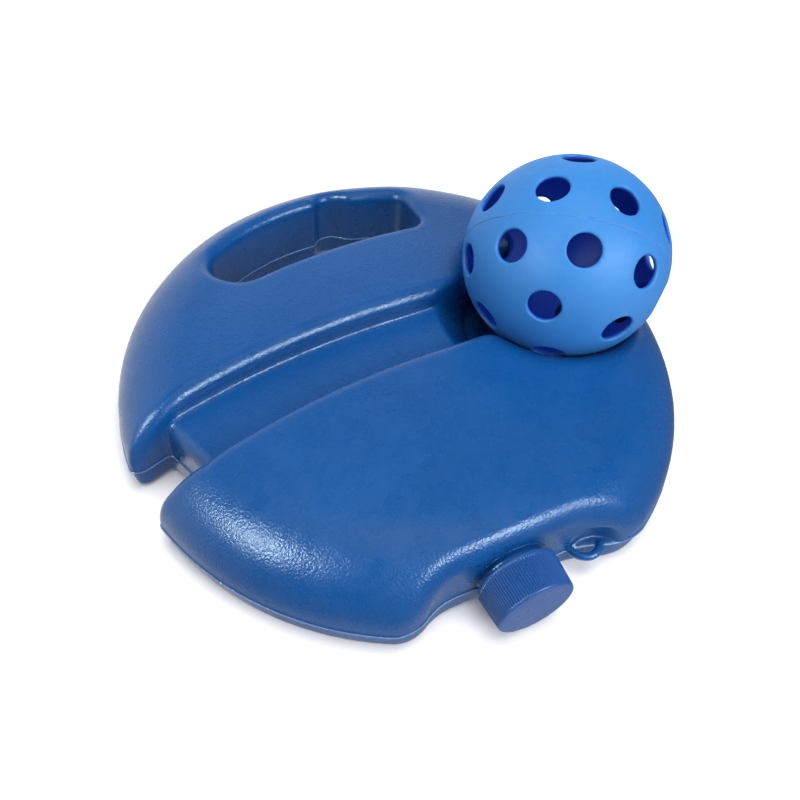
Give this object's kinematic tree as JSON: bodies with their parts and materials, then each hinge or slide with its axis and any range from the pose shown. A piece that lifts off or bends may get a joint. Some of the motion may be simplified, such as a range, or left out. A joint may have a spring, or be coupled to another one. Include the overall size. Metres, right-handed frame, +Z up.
{
  "type": "rebound trainer base",
  "caption": "Round fillable trainer base with a carry slot, a curved cord channel, a ribbed screw cap and a perforated ball resting in its seat.",
  "frame": {"origin": "middle of the round base, on the surface it stands on", "axes": "+Z up; +X along the cord channel towards the ball seat; -Y along the filler neck's axis, out of the cap"},
  "size_m": [0.207, 0.207, 0.0866],
  "materials": {
    "tank": "semi-gloss, fine grain",
    "cap": "semi-gloss",
    "liner": "matte foam",
    "ball": "satin"
  },
  "bodies": {
    "base": {"base_tank": "tank", "cord_eyelet": "tank", "filler_neck": "tank"},
    "liner": {"cap_liner": "liner"},
    "cap": {"screw_cap": "cap"},
    "ball": {"ball_front_half": "ball", "ball_back_half": "ball"}
  },
  "joints": [
    {"name": "cap_travel", "type": "slide", "parent": "base", "child": "liner", "axis": [0, -1, 0], "range_m": [0, 0.0127]},
    {"name": "cap_turn", "type": "hinge", "parent": "liner", "child": "cap", "pos_m": [-0.003, -0.095, 0.0152], "axis": [0, -1, 0], "range_deg": [0, 1440]},
    {"name": "ball_lift", "type": "slide", "parent": "base", "child": "ball", "axis": [0, 0, 1], "range_m": [0, 0.05]}
  ],
  "couplings": [
    {"joint": "cap_travel", "follows": "cap_turn", "m_per_rad": 0.00050532}
  ]
}
